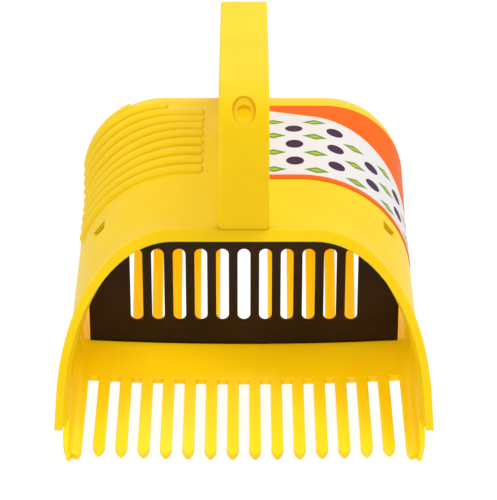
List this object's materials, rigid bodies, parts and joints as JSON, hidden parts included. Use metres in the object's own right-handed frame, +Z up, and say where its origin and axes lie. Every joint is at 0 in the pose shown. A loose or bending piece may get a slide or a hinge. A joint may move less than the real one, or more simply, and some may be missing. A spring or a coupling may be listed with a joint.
{
  "type": "fruit picker",
  "caption": "Hand-held berry scoop: a comb-fronted tray under a rounded hood with a strap handle, and a slotted valve flap that swings inwards and keeps picked fruit in the bin.",
  "frame": {"origin": "centre of the bounding box, on the table that the tooth tips and the belly stand on", "axes": "+X across the comb to the picker's right as seen from the front, +Y rearward from the comb to the bin, +Z up"},
  "size_m": [0.14, 0.2084, 0.1611],
  "materials": {
    "yellow_shell": "satin moulded",
    "brown_flap": "matt moulded",
    "label_film": "printed film"
  },
  "bodies": {
    "body": {"hood": "yellow_shell", "tray": "yellow_shell", "handle": "yellow_shell", "label": "label_film"},
    "flap": {"valve_flap": "brown_flap"}
  },
  "joints": [
    {"name": "flap_hinge", "type": "hinge", "parent": "body", "child": "flap", "pos_m": [0, -0.03405, 0.07357], "axis": [1, 0, 0], "range_deg": [0, 55]}
  ]
}
